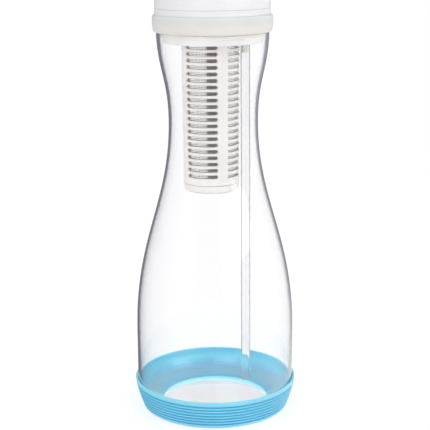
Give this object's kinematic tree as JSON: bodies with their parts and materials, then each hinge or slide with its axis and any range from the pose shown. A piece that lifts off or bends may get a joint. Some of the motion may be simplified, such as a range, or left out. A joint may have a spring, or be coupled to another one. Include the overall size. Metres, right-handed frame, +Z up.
{
  "type": "water filter pitcher",
  "caption": "Waisted clear carafe in a ribbed boot, with a plug-in lid that hangs a slotted filter cartridge and an air tube, and a cap with a pour flap.",
  "frame": {"origin": "centre of the boot's foot, on the table", "axes": "+Z up along the carafe's axis, +X towards the air tube, so the pour mouth is on the -X side"},
  "size_m": [0.115, 0.115, 0.3065],
  "materials": {
    "clear_glass": "polished",
    "clear_plastic": "clear, smooth",
    "blue_silicone": "satin, ribbed",
    "milky_silicone": "translucent satin",
    "beige_silicone": "satin",
    "white_plastic": "smooth moulded",
    "steel": "drawn wire",
    "white_felt": "needled felt",
    "carbon_grains": "loose grains"
  },
  "bodies": {
    "carafe": {"carafe_body": "clear_glass", "base_boot": "blue_silicone", "neck_collar": "milky_silicone"},
    "lid": {"lid_plug": "white_plastic", "plug_gasket": "beige_silicone", "air_tube": "clear_plastic", "tube_grommet": "beige_silicone", "vent_valve": "milky_silicone"},
    "cap": {"lid_cap": "white_plastic", "cap_seal": "milky_silicone", "hinge_pin": "steel"},
    "flap": {"pour_flap": "white_plastic", "flap_seal": "milky_silicone"},
    "filter": {"filter_head": "white_plastic", "head_oring": "milky_silicone", "filter_cage": "white_plastic", "mesh_sleeve": "steel", "filter_media": "carbon_grains", "top_screen": "white_felt", "bottom_screen": "white_felt"},
    "end_cap": {"cage_end_cap": "white_plastic"}
  },
  "joints": [
    {"name": "lid_lift", "type": "slide", "parent": "carafe", "child": "lid", "axis": [0, 0, 1], "range_m": [0, 0.27]},
    {"name": "cap_twist", "type": "hinge", "parent": "lid", "child": "cap", "pos_m": [0, 0, 0.29], "axis": [0, 0, 1], "range_deg": [0, 40]},
    {"name": "flap_hinge", "type": "hinge", "parent": "cap", "child": "flap", "pos_m": [0.004, 0, 0.3043], "axis": [0, 1, 0], "range_deg": [0, 105]},
    {"name": "filter_twist", "type": "hinge", "parent": "lid", "child": "filter", "pos_m": [-0.0016, 0, 0.27], "axis": [0, 0, 1], "range_deg": [0, 60]},
    {"name": "end_cap_twist", "type": "hinge", "parent": "filter", "child": "end_cap", "pos_m": [-0.0016, 0, 0.163], "axis": [0, 0, 1], "range_deg": [0, 90]}
  ]
}
